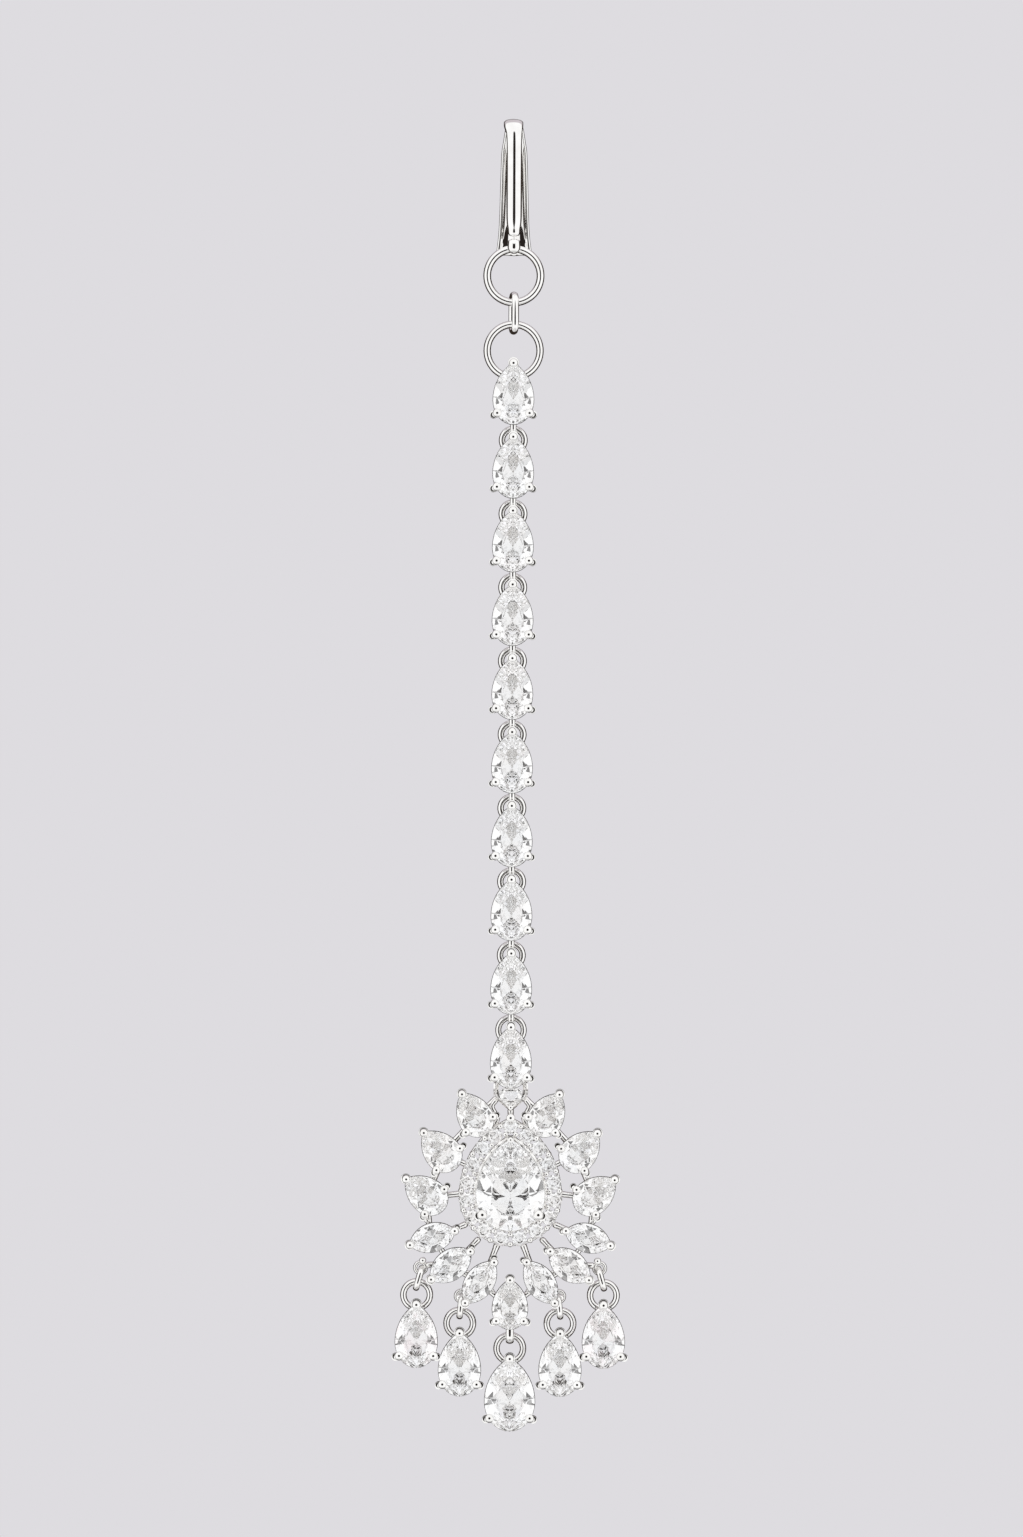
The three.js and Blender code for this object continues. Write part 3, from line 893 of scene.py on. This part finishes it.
def drop_link_places(drop):
    """Top and bottom of the hole of a drop's link, and the height of the eye that holds it."""
    wire_half = 0.3
    wire_top = drop.z + DROP_STONE.tip + DROP_RING_ABOVE + DROP_RING_RADIUS
    hole_bottom = wire_top - wire_half - LINK_PLAY
    hole_top = hole_bottom + LINK_HOLE
    eye_z = hole_top - LINK_PLAY - DROP_EYE_WIRE + DROP_EYE_RADIUS
    return hole_top, hole_bottom, eye_z


def drop_eye(drop, side):
    """The small eye that holds a drop's link, and the stub that carries it."""
    _, _, eye_z = drop_link_places(drop)
    eye_x = drop.x - LINK_LEAN_REACH * math.sin(math.radians(drop.lean))
    ring = face_ring(DROP_EYE_RADIUS, DROP_EYE_WIRE, eye_z, segments=28)
    stub_end = (side * (eye_x - 0.5), eye_z + 0.25)
    stub = bar(side * drop.stub_x, drop.stub_z, *stub_end)
    return [moved(ring, side * eye_x, 0, 0), stub]


def openwork():
    """The bars, beads and curls between the petals, and the eyes of the drops."""
    pieces = [bar(*CREST_STEM)]
    for side in (1, -1):
        for from_x, from_z, to_x, to_z in BARS:
            pieces.append(bar(side * from_x, from_z, side * to_x, to_z))
        for x, z, radius in BEADS:
            pieces.append(ball((side * x, BEAD_Y, z), radius, segments=12, rings=8))
        for drop in DROPS:
            pieces.extend(drop_eye(drop, side))
        pieces.append(bent_wire([((side * x, CURL_Y, z), CURL_WIRE) for x, z in CURL]))
    wire_top = MIDDLE_DROP_Z + MIDDLE_DROP_STONE.tip + DROP_RING_ABOVE + DROP_RING_RADIUS
    pieces.append(edge_link(FOOT_Z + below_rail(FOOT_PETAL), wire_top - 0.45, *FOOT_EYE_WIRE))
    return joined(pieces)


def shield(half, foot, front, back):
    """A block with upright sides that meet in a straight-sided point below."""
    block = begin(
        bpy.ops.mesh.primitive_cube_add,
        size=1,
        location=(0, (front + back) / 2, -0.4),
        scale=(4, back - front, 5),
    )
    # The flats of the right half: a place on each and its outward direction, x and z
    flats = [
        (half, 0, 1, 0),
        (half * 0.93, -half * 0.22, 0.86, -0.51),
        (0, foot, 0.64, -0.77),
        (half * 0.94, half * 0.62, 0.8, 0.6),
    ]
    open_edit(block)
    cut(Vector((0, 0, half * 0.76)), Vector((0, 0, 1)))
    for side in (1, -1):
        for x, z, out_x, out_z in flats:
            cut(Vector((side * x, 0, z)), Vector((side * out_x, 0, out_z)))
    close_edit()
    return block


def crest():
    """The small pointed bezel: an outer and an inner rim and a bead at its tip."""
    outer = opened(shield(half=1.72, foot=-1.87, front=-1.0, back=0), wall=0.34, soften=0.16)
    inner = opened(shield(half=1.38, foot=-1.42, front=-0.82, back=-0.1), wall=0.2, soften=0.09)
    bead = ball((0, -0.95, -1.47), 0.3, segments=16, rings=10)
    return joined([outer, inner, bead])


def grain_post(foot):
    """A short post under a grain of the halo."""
    ends = [Vector((foot.x, y, foot.z)) for y in (-0.5, -1.6)]
    return bent_wire([(end, 0.2) for end in ends], levels=1)


def halo_metal():
    """The seat of the halo, with grains raised between the small stones."""
    rim = prism(grown(HALO_LINE, 0.72), front=-1.0, back=-0.1, sides=48)
    outer = opened(rim, wall=0.32, soften=0.14, segments=3)
    rim = prism(grown(HALO_LINE, -0.75), front=-1.85, back=-0.1, sides=48)
    gallery = opened(rim, wall=0.46, soften=0.22)
    pieces = [outer, gallery]
    grain = ball((0, 0, 0), GRAIN_RADIUS, press=0.7, segments=12, rings=8)
    for i in range(HALO_COUNT):
        place, out = edge(HALO_LINE, (i + 0.5) / HALO_COUNT)
        for reach in GRAIN_REACHES:
            pieces.append(grain_post(place + out * reach * 1.2))
            pieces.append(moved(twin_of(grain), *(place + out * reach + Vector((0, GRAIN_Y, 0)))))
    scrap(grain)
    tip = [((0, -0.2, 7.95), 0.2), ((0, -1.2, 7.95), 0.2), ((0, -1.9, 7.85), 0.22)]
    pieces.append(bent_wire(tip))
    pieces.append(ball((0, -1.95, 7.75), 0.45))
    return joined(pieces)


def centre_basket():
    """The rail under the centre stone, with a small claw at its tip and two larger ones."""
    pieces = [
        rail(scaled(CENTRE_STONE, CENTRE_RAIL_SHARE), RAIL_WALL, RAIL_FRONT, 0.0),
        claw(CENTRE_STONE, 0, size=0.3, shank=0.2, share=CENTRE_RAIL_SHARE),
    ]
    for bearing in CENTRE_CLAWS:
        pieces.append(claw(CENTRE_STONE, bearing, size=0.52, shank=0.27, share=CENTRE_RAIL_SHARE))
    return joined(pieces)


def build_frame():
    ring_up, ring_radius, ring_wire = BAIL_RING
    ring = face_ring(ring_radius, ring_wire, ring_up)
    bail = joined([*seat(CHAIN_STONE, PEAR_CLAWS), ring])
    metal_piece(bail, "bail_claws", "pendant", "pendant_frame", at(0, PENDANT_Z + BAIL_Z))
    work = openwork()
    metal_piece(work, "openwork_bars", "pendant", "pendant_frame", at(0, PENDANT_Z))
    rim = crest()
    metal_piece(rim, "crest_bezel", "pendant", "pendant_frame", at(0, PENDANT_Z + CREST_Z))
    basket = centre_basket()
    metal_piece(basket, "centre_claws", "pendant", "pendant_frame", at(0, PENDANT_Z))
    seat_of_halo = halo_metal()
    metal_piece(seat_of_halo, "halo_seat", "pendant", "pendant_frame", at(0, PENDANT_Z))
    scrap(bail, work, rim, basket, seat_of_halo)


def build_centre_stones():
    gem = cut_stone(CENTRE_STONE, girdle_sides=40, culet=0.43, halves=True)
    stone_piece(gem, "centre_gem", "pendant", "centre_stone", at(0, PENDANT_Z))
    small = cut_stone(CREST_STONE, CREST_LEVELS, mains=6, girdle_sides=24, culet=0.22)
    tip_down = at(0, PENDANT_Z + CREST_Z, math.pi)
    stone_piece(small, "crest_gem", "pendant", "bezel_stone", tip_down)
    melee = cut_stone(HALO_STONE, HALO_LEVELS, girdle_sides=16, culet=0.372, halves=True)
    spots = []
    for i in range(HALO_COUNT):
        place, _ = edge(HALO_LINE, i / HALO_COUNT)
        spots.append(at(place.x, PENDANT_Z + place.z, HALO_TURN * i))
    stone_piece(melee, "halo_gems", "pendant", "halo_stones", *spots)
    scrap(gem, small, melee)


def petal_spot(petal, side):
    turn = math.radians(petal.turn)
    x = petal.tip_x - petal.shape.tip * math.sin(turn)
    z = petal.tip_z - petal.shape.tip * math.cos(turn)
    return at(side * x, PENDANT_Z + z, side * turn)


def build_petal(shape, bearings, spots):
    """A petal's setting and stone at each spot, which is given with the end of its name."""
    grip = joined(seat(shape, bearings, PETAL_CLAW_SIZE))
    gem = cut_stone(shape)
    for name, spot in spots:
        metal_piece(grip, f"petal_claws_{name}", "pendant", "pendant_frame", spot)
        stone_piece(gem, f"petal_gem_{name}", "pendant", f"petal_stone_{name}", spot)
    scrap(grip, gem)


def build_petals():
    for i, petal in enumerate(PETALS):
        bearings = POINTED_CLAWS if petal.shape.pointed else PETAL_CLAWS
        left = (f"left_{i + 1}", petal_spot(petal, -1))
        right = (f"right_{i + 1}", petal_spot(petal, 1))
        build_petal(petal.shape, bearings, [left, right])
    build_petal(FOOT_PETAL, PEAR_CLAWS, [("foot", at(0, PENDANT_Z + FOOT_Z))])


# The drops

def drop_setting(shape):
    """A pear setting with a round ring above it and a short neck between."""
    ring_up = shape.tip + DROP_RING_ABOVE
    ring_foot = ring_up - DROP_RING_RADIUS
    pieces = seat(shape, PEAR_CLAWS)
    pieces.append(face_ring(DROP_RING_RADIUS, DROP_RING_WIRE, ring_up))
    neck = [((0, -0.1, shape.tip * RAIL_SHARE - 0.1), 0.3), ((0, -0.05, ring_foot), 0.26)]
    pieces.append(bent_wire(neck))
    return joined(pieces)


def build_drop(grip, gem, name, spot, stone=STONE):
    metal_piece(grip, f"drop_claws_{name}", "pendant", f"drop_setting_{name}", spot)
    stone_piece(gem, f"drop_gem_{name}", "pendant", f"drop_stone_{name}", spot, material=stone)


def build_drops():
    grip = drop_setting(DROP_STONE)
    gem = cut_stone(DROP_STONE)
    for drop in DROPS:
        hole_top, hole_bottom, _ = drop_link_places(drop)
        link = moved(edge_link(hole_top, hole_bottom, *DROP_LINK_WIRE), 0, 0, -hole_bottom)
        tone = BLUSH_STONE if drop.word == "outer" else STONE
        for word, side in (("left", -1), ("right", 1)):
            name = f"{word}_{drop.word}"
            hang = at(side * drop.x, PENDANT_Z + hole_bottom, -side * math.radians(drop.lean))
            metal_piece(link, f"link_{name}", "pendant", f"drop_link_{name}", hang)
            build_drop(grip, gem, name, at(side * drop.x, PENDANT_Z + drop.z), tone)
        scrap(link)
    scrap(grip, gem)
    grip = drop_setting(MIDDLE_DROP_STONE)
    gem = cut_stone(MIDDLE_DROP_STONE)
    build_drop(grip, gem, "middle", at(0, PENDANT_Z + MIDDLE_DROP_Z))
    scrap(grip, gem)


# Studio

def studio_world():
    """A white tent with a dark opening in front, dark behind for the metal and pale for the stones."""
    world = bpy.data.worlds.new("tent")
    bpy.context.scene.world = world
    finish = Finish(world)
    seen = finish.node("ShaderNodeTexCoord", out="Generated")
    axes = finish.node("ShaderNodeSeparateXYZ", {}, [seen])
    rays = finish.node("ShaderNodeLightPath")
    white = (1.0, 1.0, 1.0, 1)
    dark = (0.02, 0.016, 0.014, 1)
    rear = (0.035, 0.026, 0.02, 1)
    overhead = (0.6, 0.55, 0.58, 1)
    beyond = (0.97, 0.97, 0.99, 1)
    backdrop = (0.730, 0.716, 0.745, 1)

    def other(value, name):
        return Value(value.socket.node.outputs[name], finish)

    def blend(factor, first, second):
        sockets = {"Factor": factor, 6: first, 7: second}
        return finish.node("ShaderNodeMix", {"data_type": "RGBA"}, sockets, out=2)

    front = other(axes, "Y") * -1.0
    height = other(axes, "Z")
    opening = front.step(0.925, 0.945)
    small_opening = front.step(0.93, 0.97)
    behind = 1.0 - front.step(-0.2, 0.0)
    above = height.step(0.3, 0.75)
    tent = 0.62 + height.step(-0.97, -0.6) * 0.43
    camera_ray = other(rays, "Is Camera Ray")
    through_stone = other(rays, "Is Transmission Ray")

    metal_sees = blend(opening, blend(behind, white, blend(above, rear, overhead)), dark)
    stone_sees = blend(small_opening, blend(behind, white, beyond), dark)
    bounced = blend(through_stone, metal_sees, stone_sees)
    colour = blend(camera_ray, bounced, backdrop)
    strength = tent * (1.0 - camera_ray) + camera_ray
    light = finish.node("ShaderNodeBackground", {}, [colour, strength])
    finish.node("ShaderNodeOutputWorld", {}, {"Surface": light})


def studio_floor():
    """Pale paper far below the drops, unseen by the metal and the stones."""
    floor = begin(
        bpy.ops.mesh.primitive_cylinder_add,
        vertices=96,
        radius=1.0,
        depth=0.01,
        location=(0, 0, -0.305),
    )
    floor.name = "floor"
    paper = bpy.data.materials.new("pale_paper")
    finish = Finish(paper)
    place = finish.node("ShaderNodeTexCoord", out="Object")
    fibre = finish.node("ShaderNodeTexNoise", {}, {"Vector": place, "Scale": 60.0, "Detail": 4.0})
    shade = finish.node(
        "ShaderNodeValToRGB",
        {"stops": [(0.3, (0.87, 0.853, 0.888, 1)), (0.7, (0.885, 0.867, 0.903, 1))]},
        [fibre],
    )
    matt = finish.node("ShaderNodeBsdfPrincipled", {}, {"Base Color": shade, "Roughness": 0.9})
    finish.node("ShaderNodeOutputMaterial", {}, {"Surface": matt})
    floor.data.materials.append(paper)
    floor.visible_glossy = False
    floor.visible_transmission = False


def studio_camera():
    """A long lens level with the middle of the jewel, rolled by the lean of the picture."""
    lean = math.radians(-0.22)
    lens = bpy.data.cameras.new("photo_camera")
    lens.lens = 135
    lens.sensor_fit = "VERTICAL"
    lens.sensor_height = 36
    camera = bpy.data.objects.new("photo_camera", lens)
    bpy.context.collection.objects.link(camera)
    camera.location = (-0.00005, -0.5764, -0.06415)
    camera.rotation_euler = (math.pi / 2, lean, 0)
    bpy.context.scene.camera = camera


def picture_settings():
    scene = bpy.context.scene
    scene.view_settings.view_transform = "Standard"
    scene.cycles.max_bounces = 24
    scene.cycles.glossy_bounces = 24
    scene.cycles.transmission_bounces = 24


build_chain()
build_frame()
build_centre_stones()
build_petals()
build_drops()
studio_world()
studio_floor()
studio_camera()
picture_settings()
